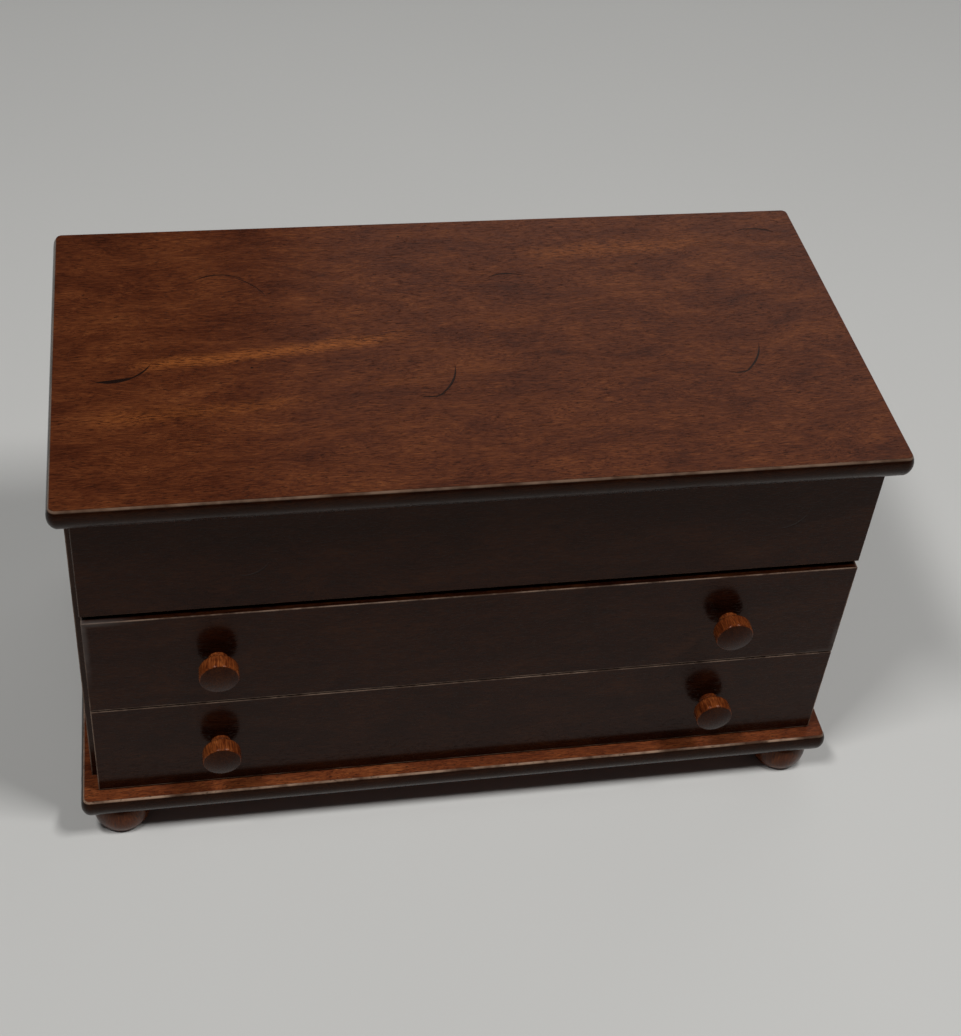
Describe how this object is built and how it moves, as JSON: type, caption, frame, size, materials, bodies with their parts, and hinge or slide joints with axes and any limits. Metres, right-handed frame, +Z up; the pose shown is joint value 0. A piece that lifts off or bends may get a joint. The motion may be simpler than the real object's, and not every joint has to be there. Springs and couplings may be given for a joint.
{
  "type": "jewelry box",
  "caption": "Wooden jewelry box: hinged lid with mirror over a lined compartment, drawers with turned knobs below, moulded base board on bun feet.",
  "frame": {"origin": "on the floor under the feet, at the centre of the outer box in X and Y", "axes": "+X along the box's width to its right as seen from the front, -Y towards the front with the knobs, +Z up"},
  "size_m": [0.343, 0.1832, 0.2035],
  "materials": {
    "dark_wood": "semi-gloss dark cherry stain",
    "knob_wood": "semi-gloss red-brown stain",
    "inner_wood": "plain sanded wood",
    "velvet": "short-pile velvet",
    "brass": "satin brass",
    "steel": "zinc-plated steel",
    "mirror_glass": "silvered glass"
  },
  "bodies": {
    "case": {"base_board": "dark_wood", "left_side_panel": "dark_wood", "right_side_panel": "dark_wood", "back_panel": "dark_wood", "upper_front_panel": "dark_wood", "compartment_floor": "inner_wood", "dust_panel": "inner_wood", "front_left_foot": "knob_wood", "front_right_foot": "knob_wood", "back_left_foot": "knob_wood", "back_right_foot": "knob_wood", "base_screws": "steel", "compartment_liner": "velvet", "compartment_wall_lining": "velvet", "ring_bay_divider": "velvet", "compartment_long_divider": "velvet", "compartment_cross_divider": "velvet", "ring_roll_1": "velvet", "ring_roll_2": "velvet", "ring_roll_3": "velvet", "ring_roll_4": "velvet", "ring_roll_5": "velvet", "left_hinge_case_leaf": "brass", "right_hinge_case_leaf": "brass", "left_hinge_pin": "steel", "right_hinge_pin": "steel", "hinge_case_screws": "brass"},
    "lid": {"lid_board": "dark_wood", "lid_mirror": "mirror_glass", "mirror_frame": "dark_wood", "left_hinge_lid_leaf": "brass", "right_hinge_lid_leaf": "brass", "hinge_lid_screws": "brass"},
    "upper_drawer": {"upper_drawer_front": "dark_wood", "upper_drawer_left_side": "inner_wood", "upper_drawer_right_side": "inner_wood", "upper_drawer_back": "inner_wood", "upper_drawer_bottom": "inner_wood", "upper_drawer_liner": "velvet", "upper_drawer_left_divider": "inner_wood", "upper_drawer_right_divider": "inner_wood", "upper_left_knob": "knob_wood", "upper_right_knob": "knob_wood", "upper_knob_screws": "steel"},
    "lower_drawer": {"lower_drawer_front": "dark_wood", "lower_drawer_left_side": "inner_wood", "lower_drawer_right_side": "inner_wood", "lower_drawer_back": "inner_wood", "lower_drawer_bottom": "inner_wood", "lower_drawer_liner": "velvet", "lower_drawer_divider": "inner_wood", "lower_left_knob": "knob_wood", "lower_right_knob": "knob_wood", "lower_knob_screws": "steel"}
  },
  "joints": [
    {"name": "lid_hinge", "type": "hinge", "parent": "case", "child": "lid", "pos_m": [0, 0.0882, 0.1909], "axis": [-1, 0, 0], "range_deg": [0, 95]},
    {"name": "upper_drawer_slide", "type": "slide", "parent": "case", "child": "upper_drawer", "axis": [0, -1, 0], "range_m": [0, 0.12]},
    {"name": "lower_drawer_slide", "type": "slide", "parent": "case", "child": "lower_drawer", "axis": [0, -1, 0], "range_m": [0, 0.12]}
  ]
}
